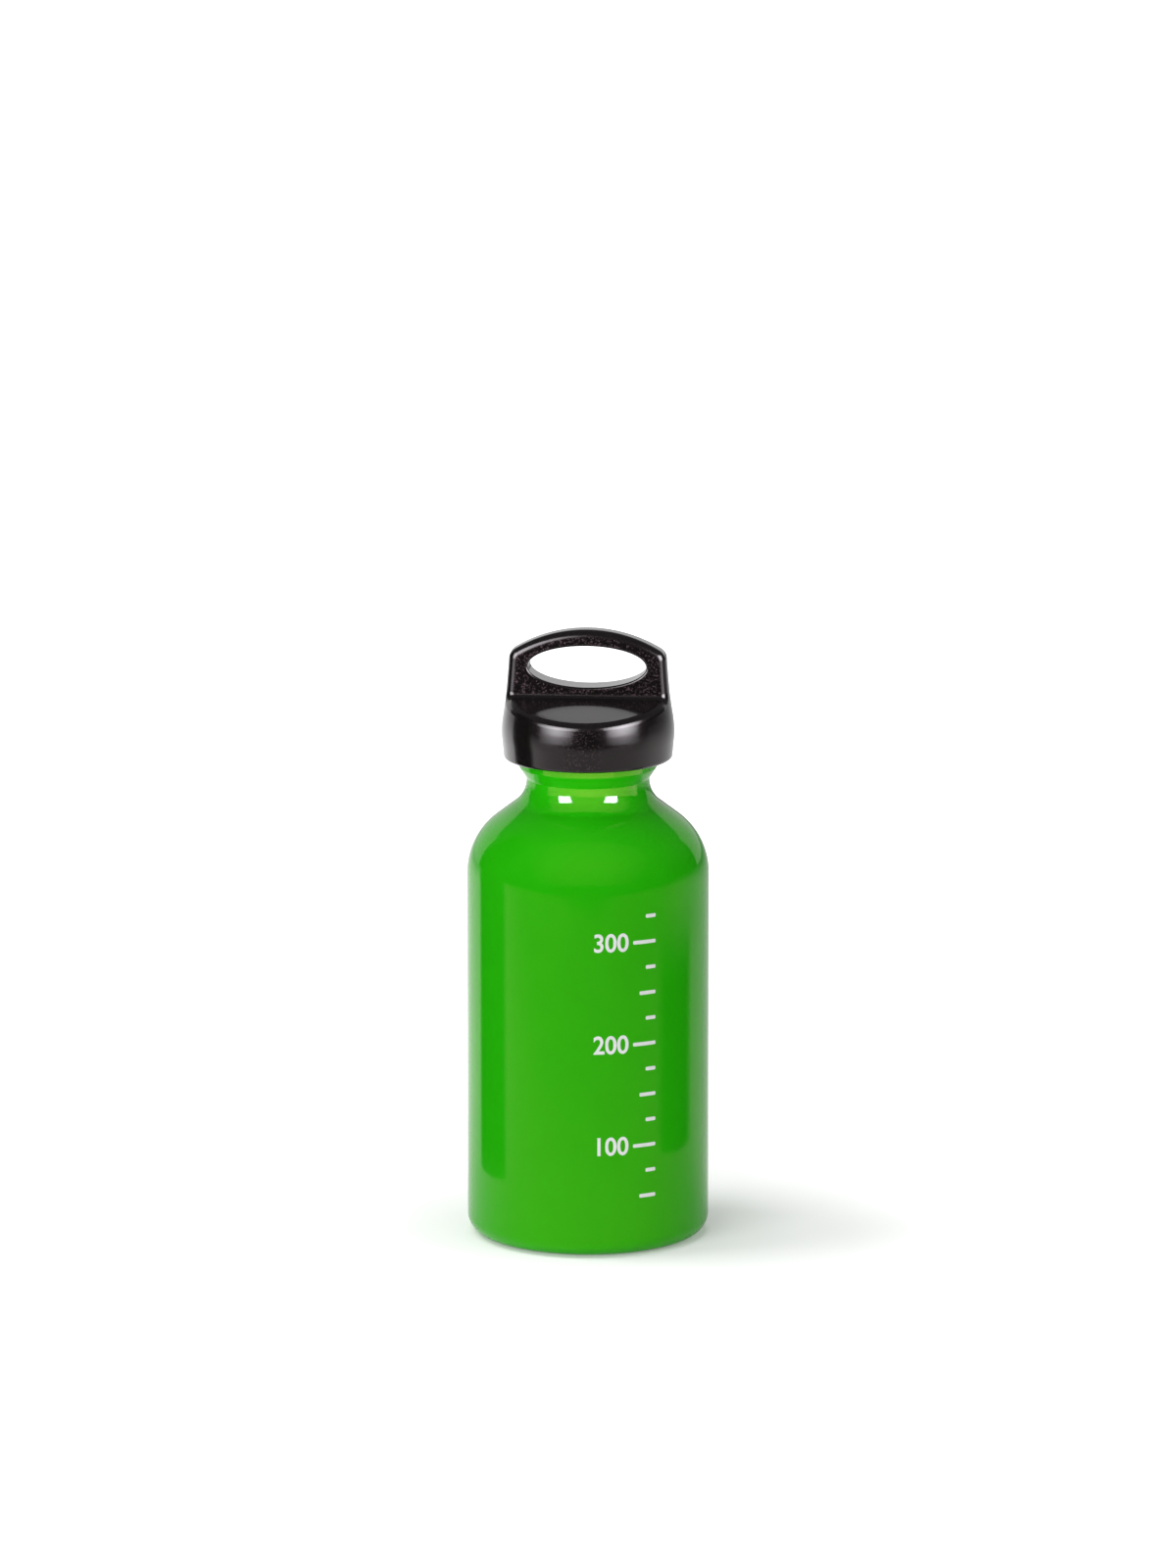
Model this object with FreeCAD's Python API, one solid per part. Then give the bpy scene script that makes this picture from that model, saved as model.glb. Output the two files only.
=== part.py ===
"""Camping fuel bottle with a push-and-turn, child-resistant screw cap and carrying loop.

Millimetres, +Z up. The origin is the middle of the base, on the surface that the bottle stands on,
and the carrying loop lies in the XZ plane.
"""

import FreeCAD, Part

import math
import os

# Bottle: one impact-extruded aluminium shell
body_radius = 34.0
body_wall = 0.9
base_wall = 1.1
base_corner_radius = 5.2
standing_ring_width = 4.0
standing_ring_round = 1.5
base_dish_depth = 4.6
base_dish_flat_share = 0.484
base_dish_round_share = 1.21
shoulder_start = 103.3
shoulder_round_share = 1.188
shoulder_angle_deg = 52.6
throat_round_share = 0.5134
neck_radius = 17.25
neck_land = 0.4
neck_land_round = 0.5
neck_ring_reach = 2.15
neck_ring_flank = 3.2
neck_ring_height = 4.8
neck_ring_round = 0.9
lip_flare = 0.55
lip_height = 2.2
lip_round = 0.6
neck_wall = 3.45
bore_foot_round = 4.0

# Sealing ring on the mouth
seal_thickness = 1.6
seal_bore_clearance = 0.1
seal_edge_inset = 0.4
seal_round = 0.5

# Stopper: threaded plug under a drive flange
thread_room = 1.6
plug_depth = 11.5
plug_floor = 2.0
plug_wall = 2.2
plug_nose_round = 1.2
flange_thickness = 2.2
flange_round = 0.4

# Drive lugs, on the flange and under the cap's ceiling
lug_count = 12
lug_width_deg = 11.0
lug_height = 1.3
lug_gap = 0.4
lug_edge_inset = 1.6
lug_length = 3.0

# Return spring in the plug's well
spring_wire = 1.1
spring_turns = 5
spring_side_gap = 1.85
spring_end_gap = 0.1

# Retaining ring, a split ring in a groove of the skirt
retainer_thickness = 1.6
retainer_lap = 1.0
retainer_clearance = 0.6
retainer_seat_gap = 0.1
retainer_groove_depth = 0.6
retainer_groove_gap = 0.15
retainer_split = 3.0

# Overcap: skirt, crown and carrying loop in one moulding
skirt_clearance = 0.6
skirt_wall = 2.55
skirt_depth = 11.4
skirt_draft = 0.55
parting_height = 5.9
crown_wall = 2.1
crown_slope_deg = 11.7
rim_round = 0.9
rim_inner_round = 0.5
spigot_side_gap = 0.65
spigot_height = 3.0
spigot_round = 0.8
handle_height = 25.2
loop_end_taper = 2.65
loop_end_rise_shares = (0, 0.173, 0.28, 0.388, 0.518, 0.681, 1)
loop_end_inset_shares = (0, 0.079, 0.272, 0.453, 0.596, 0.743, 1)
handle_top_thickness = 7.4
handle_face_draft_deg = 2.0
arch_radius = 39.5
arch_corner_round = 3.4
cove_radius = 1.8
edge_round = 2.4
loop_top_web = 4.45
loop_side_web = 5.6
panel_height = 1.5
eye_round = 0.6

# How far every cutting shape reaches past what it cuts
overrun = 5.0

# Radii that follow from the neck, outwards to the cap and inwards to the spring
lip_radius = neck_radius + lip_flare
neck_ring_radius = neck_radius + neck_ring_reach
retainer_inner_radius = neck_ring_radius + retainer_clearance
flange_radius = retainer_inner_radius + retainer_lap
lug_outer_radius = flange_radius - lug_edge_inset
lug_inner_radius = lug_outer_radius - lug_length
skirt_inner_radius = flange_radius + skirt_clearance
groove_radius = skirt_inner_radius + retainer_groove_depth
cap_radius = skirt_inner_radius + skirt_wall
cap_rim_radius = cap_radius - skirt_draft
bore_radius = neck_radius - neck_wall
plug_radius = bore_radius - thread_room
well_radius = plug_radius - plug_wall
spring_mean_radius = well_radius - spring_side_gap - spring_wire / 2
spigot_radius = spring_mean_radius - spring_wire / 2 - spigot_side_gap
shoulder_radius = (body_radius - neck_radius) * shoulder_round_share
throat_radius = (body_radius - neck_radius) * throat_round_share

# Heights that follow from the sizes above
shoulder_angle = math.radians(shoulder_angle_deg)
shoulder_corner = shoulder_start + shoulder_radius * math.tan(shoulder_angle / 2)
throat_corner = shoulder_corner + (body_radius - neck_radius) / math.tan(shoulder_angle)
neck_start = throat_corner + throat_radius * math.tan(shoulder_angle / 2)
neck_ring_bottom = neck_start + neck_land + neck_ring_flank
neck_ring_top = neck_ring_bottom + neck_ring_height
mouth_height = neck_ring_top + lip_height
flange_bottom = mouth_height + seal_thickness
flange_top = flange_bottom + flange_thickness
plug_bottom = mouth_height - plug_depth
well_floor = plug_bottom + plug_floor
cap_ceiling = flange_top + 2 * lug_height + lug_gap
cap_rim = cap_ceiling - skirt_depth
cap_parting = cap_rim + parting_height
cap_top = cap_ceiling + handle_height
retainer_top = flange_bottom - retainer_seat_gap
retainer_bottom = retainer_top - retainer_thickness

# Front of the loop, from the sloping crown to the eye
face_draft = math.tan(math.radians(handle_face_draft_deg))
crown_slope = math.tan(math.radians(crown_slope_deg))
crown_edge = cap_ceiling + crown_wall
loop_foot = handle_top_thickness / 2 + (cap_top - crown_edge) * face_draft
loop_foot_height = crown_edge + (cap_radius - loop_foot) * crown_slope
cove_half_angle = (math.pi / 2 + math.radians(handle_face_draft_deg + crown_slope_deg)) / 2
cove_top = loop_foot_height + cove_radius / math.tan(cove_half_angle)
eye_top = cap_top - loop_top_web
eye_bottom = cove_top + panel_height
eye_half_width = cap_radius - loop_end_taper * loop_end_inset_shares[-2] - loop_side_web

ORIGIN = FreeCAD.Vector(0, 0, 0)
UP = FreeCAD.Vector(0, 0, 1)
ALONG_X = FreeCAD.Vector(1, 0, 0)
ALONG_Y = FreeCAD.Vector(0, 1, 0)
FULL_TURN = 360


def rounded_edges(corners):
    """Edges of a closed outline of (point, radius) corners, each corner rounded by a tangent arc."""
    rounded = []
    for index, (corner, radius) in enumerate(corners):
        before = (corners[index - 1][0] - corner).normalize()
        after = (corners[(index + 1) % len(corners)][0] - corner).normalize()
        half_angle = before.getAngle(after) / 2
        reach = radius / math.tan(half_angle)
        middle = corner + (before + after).normalize() * (radius / math.sin(half_angle) - radius)
        rounded.append((corner + before * reach, middle, corner + after * reach, radius))
    edges = []
    for index, (start, middle, end, radius) in enumerate(rounded):
        if radius > 0:
            edges.append(Part.Arc(start, middle, end).toShape())
        next_start = rounded[(index + 1) % len(rounded)][0]
        edges.append(Part.makeLine(end, next_start))
    return edges


def outline_face(corners):
    return Part.Face(Part.Wire(rounded_edges(corners)))


def revolved(profile, sweep_deg=FULL_TURN):
    """Solid turned about Z from (radius, height, corner radius) points."""
    corners = [(FreeCAD.Vector(radius, 0, height), rounding) for radius, height, rounding in profile]
    return outline_face(corners).revolve(ORIGIN, UP, sweep_deg)


def make_bottle_shell():
    standing_outer = body_radius - base_corner_radius
    standing_inner = standing_outer - standing_ring_width
    dish_flat_radius = standing_inner * base_dish_flat_share
    dish_round = standing_inner * base_dish_round_share
    inner_radius = body_radius - body_wall
    inner_shoulder_radius = shoulder_radius - body_wall
    inner_corner = shoulder_start + inner_shoulder_radius * math.tan(shoulder_angle / 2)
    bore_foot = inner_corner + (inner_radius - bore_radius) / math.tan(shoulder_angle)
    outside = [
        (0, base_dish_depth, 0),
        (dish_flat_radius, base_dish_depth, dish_round),
        (standing_inner, 0, standing_ring_round),
        (body_radius, 0, base_corner_radius),
        (body_radius, shoulder_corner, shoulder_radius),
        (neck_radius, throat_corner, throat_radius),
        (neck_radius, neck_start + neck_land, neck_land_round),
        (neck_ring_radius, neck_ring_bottom, neck_ring_round),
        (neck_ring_radius, neck_ring_top, neck_ring_round),
        (lip_radius, neck_ring_top, lip_round),
        (lip_radius, mouth_height, lip_round),
    ]
    inside = [
        (bore_radius, mouth_height, lip_round),
        (bore_radius, bore_foot, bore_foot_round),
        (inner_radius, inner_corner, inner_shoulder_radius),
        (inner_radius, base_wall, base_corner_radius - body_wall),
        (standing_inner, base_wall, standing_ring_round),
        (dish_flat_radius, base_dish_depth + base_wall, dish_round),
        (0, base_dish_depth + base_wall, 0),
    ]
    return revolved(outside + inside)


def make_sealing_ring():
    inner = bore_radius + seal_bore_clearance
    outer = lip_radius - seal_edge_inset
    return revolved([
        (inner, mouth_height, seal_round),
        (outer, mouth_height, seal_round),
        (outer, flange_bottom, seal_round),
        (inner, flange_bottom, seal_round),
    ])


def lug_ring(low, high, first_deg):
    """The ring of separate drive lugs between two heights, with one lug centred on first_deg."""
    lugs = []
    for index in range(lug_count):
        lug = revolved([
            (lug_inner_radius, low, 0),
            (lug_outer_radius, low, 0),
            (lug_outer_radius, high, 0),
            (lug_inner_radius, high, 0),
        ], lug_width_deg)
        turn = first_deg + index * FULL_TURN / lug_count - lug_width_deg / 2
        lug.rotate(ORIGIN, UP, turn)
        lugs.append(lug)
    return lugs


def make_stopper():
    body = revolved([
        (0, plug_bottom, 0),
        (plug_radius, plug_bottom, plug_nose_round),
        (plug_radius, flange_bottom, 0),
        (flange_radius, flange_bottom, flange_round),
        (flange_radius, flange_top, flange_round),
        (well_radius, flange_top, flange_round),
        (well_radius, well_floor, plug_nose_round),
        (0, well_floor, 0),
    ])
    return body.fuse(lug_ring(flange_top, flange_top + lug_height, 0)).removeSplitter()


def bend(start, corner, end):
    """Arc that leaves start towards corner and reaches end from it."""
    weight = (end - start).Length / 2 / (corner - start).Length
    middle = (start + corner * (2 * weight) + end) * (1 / (2 + 2 * weight))
    return Part.Arc(start, middle, end).toShape()


def make_return_spring():
    """Coil of round wire on pairs of tangent arcs, one pair for each quarter turn."""
    low = well_floor + spring_end_gap + spring_wire / 2
    high = cap_ceiling - spring_end_gap - spring_wire / 2
    steps = 4 * spring_turns
    rise = (high - low) / (2 * math.pi * spring_turns)

    def place(angle):
        return FreeCAD.Vector(
            spring_mean_radius * math.cos(angle),
            spring_mean_radius * math.sin(angle),
            low + rise * angle,
        )

    def heading(angle):
        slope = rise / spring_mean_radius
        return FreeCAD.Vector(-math.sin(angle), math.cos(angle), slope).normalize()

    edges = []
    for step in range(steps):
        first, last = step * math.pi / 2, (step + 1) * math.pi / 2
        start, end, leave, arrive = place(first), place(last), heading(first), heading(last)
        chord = end - start
        turn = 2 * (1 - leave.dot(arrive))
        along = chord.dot(leave + arrive)
        reach = (math.sqrt(along * along + turn * chord.dot(chord)) - along) / turn
        corner_in, corner_out = start + leave * reach, end - arrive * reach
        joint = (corner_in + corner_out) * 0.5
        edges += [bend(start, corner_in, joint), bend(joint, corner_out, end)]
    path = Part.Wire(edges)
    section = Part.Wire(Part.makeCircle(spring_wire / 2, place(0), heading(0)))
    turn_gap = rise * 2 * math.pi - spring_wire
    print("return spring: gap between turns %.2f mm, wire %.1f mm long" % (turn_gap, path.Length))
    return path.makePipeShell([section], True, False)


def make_retaining_ring():
    outer = groove_radius - retainer_groove_gap
    ring = revolved([
        (retainer_inner_radius, retainer_bottom, 0),
        (outer, retainer_bottom, 0),
        (outer, retainer_top, 0),
        (retainer_inner_radius, retainer_top, 0),
    ])
    height = retainer_thickness + 2 * overrun
    corner = FreeCAD.Vector(0, -retainer_split / 2, retainer_bottom - overrun)
    split = Part.makeBox(outer + overrun, retainer_split, height, corner)
    return ring.cut(split)


def cap_blank():
    """Skirt and tapering upper part as turned solids, before the loop is carved out of them."""
    skirt = revolved([
        (0, cap_rim, 0),
        (cap_rim_radius, cap_rim, rim_round),
        (cap_radius, cap_parting, 0),
        (0, cap_parting, 0),
    ])
    flare = []
    for rise, inset in zip(loop_end_rise_shares, loop_end_inset_shares):
        height = cap_parting + (cap_top - cap_parting) * rise
        flare.append(FreeCAD.Vector(cap_radius - loop_end_taper * inset, 0, height))
    side = Part.BSplineCurve()
    side.interpolate(flare)
    rest = Part.makePolygon([flare[-1], UP * cap_top, UP * cap_parting, flare[0]]).Edges
    upper = Part.Face(Part.Wire([side.toShape()] + rest)).revolve(ORIGIN, UP, FULL_TURN)
    return skirt.fuse(upper).removeSplitter()


def arch_trim():
    """What is cut off above the loop's arched top."""
    centre = cap_top - arch_radius
    half_width = cap_radius
    spring_line = centre + math.sqrt(arch_radius**2 - half_width**2)
    left = FreeCAD.Vector(-half_width, 0, spring_line)
    right = FreeCAD.Vector(half_width, 0, spring_line)
    top_left = FreeCAD.Vector(-half_width, 0, cap_top + overrun)
    top_right = FreeCAD.Vector(half_width, 0, cap_top + overrun)
    arch = Part.Arc(left, FreeCAD.Vector(0, 0, cap_top), right).toShape()
    sides = Part.makePolygon([right, top_right, top_left, left]).Edges
    face = Part.Face(Part.Wire([arch] + sides))
    face.translate(ALONG_Y * -(cap_radius + overrun))
    return face.extrude(ALONG_Y * (2 * (cap_radius + overrun)))


def scoop():
    """Hollow in front of the loop: drafted face, cove and sloping crown, run straight along X."""
    far = cap_radius + overrun
    top = cap_top + overrun
    half_top = handle_top_thickness / 2
    corners = [
        (FreeCAD.Vector(0, -(half_top - overrun * face_draft), top), 0),
        (FreeCAD.Vector(0, -loop_foot, loop_foot_height), cove_radius),
        (FreeCAD.Vector(0, -far, crown_edge - overrun * crown_slope), 0),
        (FreeCAD.Vector(0, -far, top), 0),
    ]
    face = outline_face(corners)
    face.translate(ALONG_X * -far)
    return face.extrude(ALONG_X * (2 * far))


def runs_along(face, direction):
    """True for a flat or round face that is straight along that direction."""
    surface = face.Surface
    if isinstance(surface, Part.Plane):
        return abs(surface.Axis.dot(direction)) < Part.Precision.confusion()
    if isinstance(surface, Part.Cylinder):
        return abs(abs(surface.Axis.dot(direction)) - 1) < Part.Precision.confusion()
    return False


def edges_between(solid, first, second):
    """Edges with one face that passes the first test and another that passes the second."""
    found = []
    for edge in solid.Edges:
        faces = solid.ancestorsOfType(edge, Part.Face)
        if len(faces) == 2 and any(first(a) and second(b) for a, b in (faces, faces[::-1])):
            found.append(edge)
    return found


def is_flared(face):
    return isinstance(face.Surface, Part.SurfaceOfRevolution)


def is_arch(face):
    return isinstance(face.Surface, Part.Cylinder) and runs_along(face, ALONG_Y)


def is_scooped(face):
    return runs_along(face, ALONG_X) and face.BoundBox.ZMax > cap_ceiling


def is_outer(face):
    return not runs_along(face, ALONG_X)


def is_eye(face):
    return isinstance(face.Surface, Part.SurfaceOfExtrusion)


def eye_cutter():
    centre = UP * ((eye_top + eye_bottom) / 2)
    side = centre + ALONG_X * eye_half_width
    crest = UP * eye_top
    ellipse = Part.Ellipse(side, crest, centre).toShape()
    face = Part.Face(Part.Wire(ellipse))
    face.translate(ALONG_Y * -cap_radius)
    return face.extrude(ALONG_Y * (2 * cap_radius))


def cap_cavity():
    """Space inside the skirt, with the groove that holds the retaining ring."""
    groove_bottom = retainer_bottom - retainer_groove_gap
    groove_top = retainer_top + retainer_groove_gap
    rim_flare = skirt_inner_radius + rim_inner_round
    return revolved([
        (0, cap_rim - overrun, 0),
        (rim_flare, cap_rim - overrun, 0),
        (rim_flare, cap_rim, 0),
        (skirt_inner_radius, cap_rim + rim_inner_round, 0),
        (skirt_inner_radius, groove_bottom, 0),
        (groove_radius, groove_bottom, 0),
        (groove_radius, groove_top, 0),
        (skirt_inner_radius, groove_top, 0),
        (skirt_inner_radius, cap_ceiling, spigot_round),
        (spigot_radius, cap_ceiling, spigot_round),
        (spigot_radius, cap_ceiling - spigot_height, spigot_round),
        (0, cap_ceiling - spigot_height, 0),
    ])


def make_overcap():
    front = scoop()
    back = front.mirror(ORIGIN, ALONG_Y)
    body = cap_blank().cut([arch_trim(), front, back])
    body = body.makeFillet(arch_corner_round, edges_between(body, is_flared, is_arch))
    body = body.makeFillet(edge_round, edges_between(body, is_scooped, is_outer))
    body = body.cut(eye_cutter())
    body = body.makeFillet(eye_round, edges_between(body, is_eye, is_scooped))
    body = body.cut(cap_cavity())
    half_step = FULL_TURN / lug_count / 2
    return body.fuse(lug_ring(cap_ceiling - lug_height, cap_ceiling, half_step)).removeSplitter()


PIECES = {
    "bottle_shell": make_bottle_shell,
    "sealing_ring": make_sealing_ring,
    "stopper": make_stopper,
    "return_spring": make_return_spring,
    "retaining_ring": make_retaining_ring,
    "overcap": make_overcap,
}


def main():
    os.makedirs("parts", exist_ok=True)
    for name, make in PIECES.items():
        shape = make()
        print(name, "solids", len(shape.Solids), "valid", shape.isValid(), "volume %.0f mm3" % shape.Volume)
        shape.exportStep("parts/%s.step" % name)


main()
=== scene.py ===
import bpy
import math
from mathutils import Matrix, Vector


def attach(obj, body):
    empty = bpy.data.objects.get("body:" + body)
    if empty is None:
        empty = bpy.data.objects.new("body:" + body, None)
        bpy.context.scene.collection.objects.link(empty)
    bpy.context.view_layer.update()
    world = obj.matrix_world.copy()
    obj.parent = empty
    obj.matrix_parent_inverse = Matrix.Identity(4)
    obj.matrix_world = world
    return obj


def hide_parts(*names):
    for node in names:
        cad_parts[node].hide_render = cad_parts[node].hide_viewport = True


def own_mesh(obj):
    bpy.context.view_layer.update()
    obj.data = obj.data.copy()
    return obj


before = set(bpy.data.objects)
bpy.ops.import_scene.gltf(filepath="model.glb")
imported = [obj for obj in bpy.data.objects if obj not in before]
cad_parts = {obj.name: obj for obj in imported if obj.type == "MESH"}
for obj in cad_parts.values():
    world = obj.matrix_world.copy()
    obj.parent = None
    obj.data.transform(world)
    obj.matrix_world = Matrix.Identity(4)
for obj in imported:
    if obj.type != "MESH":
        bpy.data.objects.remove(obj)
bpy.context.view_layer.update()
print("frame loaded:", sorted(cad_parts))

mm = 0.001
fullTurn = 2 * math.pi
upright = (math.pi / 2, 0, 0)  # stands a flat shape up in the XZ plane
mergeDistance = 0.001 * mm
smoothTurned, smoothFine = 40, 50  # steepest edge that is still shaded round, in degrees


def deselectAll():
    if bpy.context.object and bpy.context.object.mode != "OBJECT":
        bpy.ops.object.mode_set(mode="OBJECT")
    bpy.ops.object.select_all(action="DESELECT")


def pickUp(piece):  # the one selected, active object
    deselectAll()
    bpy.context.view_layer.objects.active = piece
    piece.select_set(True)


def enterEdit(piece):
    pickUp(piece)
    bpy.ops.object.mode_set(mode="EDIT")
    bpy.ops.mesh.select_mode(type="VERT")


def selectWhere(piece, wanted):  # select vertices by their place, then stay in edit mode
    enterEdit(piece)
    bpy.ops.mesh.select_all(action="DESELECT")
    bpy.ops.object.mode_set(mode="OBJECT")
    for vertex in piece.data.vertices:
        vertex.select = wanted(vertex)
    bpy.ops.object.mode_set(mode="EDIT")


def useModifier(piece, kind, **settings):
    pickUp(piece)
    modifier = piece.modifiers.new(kind.lower(), kind)
    for name, value in settings.items():
        setattr(modifier, name, value)
    bpy.ops.object.modifier_apply(modifier=modifier.name)


def closeMesh(piece, smoothDegrees):  # merge doubles, face outwards, round off the shading
    enterEdit(piece)
    bpy.ops.mesh.select_all(action="SELECT")
    bpy.ops.mesh.remove_doubles(threshold=mergeDistance)
    bpy.ops.mesh.normals_make_consistent(inside=False)
    bpy.ops.object.mode_set(mode="OBJECT")
    bpy.ops.object.shade_smooth_by_angle(angle=math.radians(smoothDegrees))


def roundedOutline(corners, stepDegrees):  # (radius, height, rounding) corners to points
    points = []
    last = len(corners) - 1
    for index, (radius, height, rounding) in enumerate(corners):
        corner = Vector((radius, height))
        if rounding == 0 or index in (0, last):
            points.append(corner)
            continue
        before = (Vector(corners[index - 1][:2]) - corner).normalized()
        after = (Vector(corners[index + 1][:2]) - corner).normalized()
        half = before.angle(after) / 2
        centre = corner + (before + after).normalized() * rounding / math.sin(half)
        start = corner + before * rounding / math.tan(half) - centre
        turn = start.angle_signed(corner + after * rounding / math.tan(half) - centre)
        steps = max(2, round(abs(math.degrees(turn)) / stepDegrees))
        for step in range(steps + 1):
            angle = -turn * step / steps
            cosine, sine = math.cos(angle), math.sin(angle)
            swung = Vector((start.x * cosine - start.y * sine, start.x * sine + start.y * cosine))
            points.append(centre + swung)
    return points


def turnOnAxis(name, outline, steps):  # draw the outline point by point, then spin it round Z
    deselectAll()
    bpy.ops.mesh.primitive_plane_add(size=1 * mm)
    piece = bpy.context.object
    piece.name = name
    enterEdit(piece)
    bpy.ops.mesh.select_all(action="SELECT")
    bpy.ops.mesh.merge(type="CENTER")
    bpy.ops.transform.translate(value=(outline[0].x * mm, 0, outline[0].y * mm))
    for here, there in zip(outline, outline[1:]):
        move = (there - here) * mm
        bpy.ops.mesh.extrude_region_move(TRANSFORM_OT_translate={"value": (move.x, 0, move.y)})
    bpy.ops.mesh.select_all(action="SELECT")
    bpy.ops.mesh.spin(steps=steps, angle=fullTurn, center=(0, 0, 0), axis=(0, 0, 1))
    closeMesh(piece, smoothTurned)
    return piece


# Bottle: one drawn shell, shown as a body, a painted neck above the shoulder and a bare mouth inside it
bottleSizes = {
    "bodyRadius": 33.97,  # paint sits a hair under the CAD wall, which leaves room for the print
    "wall": 0.87,
    "baseWall": 1.1,
    "baseCorner": 5.2,
    "standingWidth": 4.0,
    "standingRound": 1.5,
    "dishDepth": 4.6,
    "dishFlat": 12.0,
    "dishRound": 30.0,
    "shoulderStart": 103.3,
    "shoulderRound": 19.87,
    "shoulderDegrees": 52.6,
    "seamShare": 0.79,  # how far up the shoulder's slope the body ends and the neck begins
    "throatRound": 8.6,
    "neckRadius": 17.25,
    "neckLand": 0.4,
    "landRound": 0.5,
    "ringRadius": 19.4,
    "ringFlank": 3.2,
    "ringHeight": 4.8,
    "ringRound": 0.9,
    "lipRadius": 17.8,
    "lipHeight": 2.2,
    "lipRound": 0.6,
    "boreRadius": 13.8,
    "boreFootRound": 4.0,
    "turnSteps": 192,
    "arcStep": 3.0,
}


def makeBottle(size):
    slope = math.radians(size["shoulderDegrees"])
    outer, inner = size["bodyRadius"], size["bodyRadius"] - size["wall"]
    innerRound = size["shoulderRound"] - size["wall"]
    shoulderCorner = size["shoulderStart"] + size["shoulderRound"] * math.tan(slope / 2)
    innerCorner = size["shoulderStart"] + innerRound * math.tan(slope / 2)
    throatCorner = shoulderCorner + (outer - size["neckRadius"]) / math.tan(slope)
    boreFoot = innerCorner + (inner - size["boreRadius"]) / math.tan(slope)
    neckStart = throatCorner + size["throatRound"] * math.tan(slope / 2)
    ringBottom = neckStart + size["neckLand"] + size["ringFlank"]
    ringTop = ringBottom + size["ringHeight"]
    mouth = ringTop + size["lipHeight"]
    standing = outer - size["baseCorner"] - size["standingWidth"]
    slopeFoot, slopeHead = Vector((outer, shoulderCorner)), Vector((size["neckRadius"], throatCorner))
    seam = slopeFoot.lerp(slopeHead, size["seamShare"])
    innerSeam = seam - Vector((math.cos(slope), math.sin(slope))) * size["wall"]
    splitSeam = (seam + innerSeam) / 2
    splitRadius = (size["neckRadius"] + size["boreRadius"]) / 2
    splitFoot = splitSeam.y + (splitSeam.x - splitRadius) / math.tan(slope)
    paintEdge = ringTop - size["ringRound"]
    bodyOutline = [
        (0, size["dishDepth"], 0),
        (size["dishFlat"], size["dishDepth"], size["dishRound"]),
        (standing, 0, size["standingRound"]),
        (outer, 0, size["baseCorner"]),
        (outer, size["shoulderStart"] / 2, 0),
        (outer, shoulderCorner, size["shoulderRound"]),
        (seam.x, seam.y, 0),
        (innerSeam.x, innerSeam.y, 0),
        (inner, innerCorner, innerRound),
        (inner, size["baseWall"], size["baseCorner"] - size["wall"]),
        (standing, size["baseWall"], size["standingRound"]),
        (size["dishFlat"], size["dishDepth"] + size["baseWall"], size["dishRound"]),
        (0, size["dishDepth"] + size["baseWall"], 0),
    ]
    neckOutline = [
        (seam.x, seam.y, 0),
        (size["neckRadius"], throatCorner, size["throatRound"]),
        (size["neckRadius"], neckStart + size["neckLand"], size["landRound"]),
        (size["ringRadius"], ringBottom, size["ringRound"]),
        (size["ringRadius"], paintEdge, 0),
        (splitRadius, paintEdge, 0),
        (splitRadius, splitFoot, 0),
        (splitSeam.x, splitSeam.y, 0),
        (seam.x, seam.y, 0),
    ]
    mouthOutline = [
        (size["ringRadius"], paintEdge, 0),
        (size["ringRadius"], ringTop, size["ringRound"]),
        (size["lipRadius"], ringTop, size["lipRound"]),
        (size["lipRadius"], mouth, size["lipRound"]),
        (size["boreRadius"], mouth, size["lipRound"]),
        (size["boreRadius"], boreFoot, size["boreFootRound"]),
        (innerSeam.x, innerSeam.y, 0),
        (splitSeam.x, splitSeam.y, 0),
        (splitRadius, splitFoot, 0),
        (splitRadius, paintEdge, 0),
        (size["ringRadius"], paintEdge, 0),
    ]
    outlines = {"bottleBody": bodyOutline, "bottleNeck": neckOutline, "bottleMouth": mouthOutline}
    pieces = []
    for name, outline in outlines.items():
        piece = turnOnAxis(name, roundedOutline(outline, size["arcStep"]), size["turnSteps"])
        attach(piece, "bottle")
        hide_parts("bottle_shell")
        pieces.append(piece)
    faces = sum(len(piece.data.polygons) for piece in pieces)
    print("bottle turned:", faces, "faces, mouth at", round(mouth, 2))
    return pieces


bottleBody, bottleNeck, bottleMouth = makeBottle(bottleSizes)


# Screw threads in the neck and on the stopper's plug, the shapes that the CAD leaves out
threadSizes = {
    "pitch": 4.0,
    "turns": 1.95,
    "rootWidth": 2.2,
    "crestWidth": 1.0,
    "crestRound": 0.25,
    "crestSteps": 3,
    "fadeSteps": 10,
    "stepsPerTurn": 72,
}
neckThreadPlace = {"root": 13.85, "crest": 12.55, "foot": 131.1}
plugThreadPlace = {"root": 12.15, "crest": 13.4, "foot": 133.1}


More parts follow.
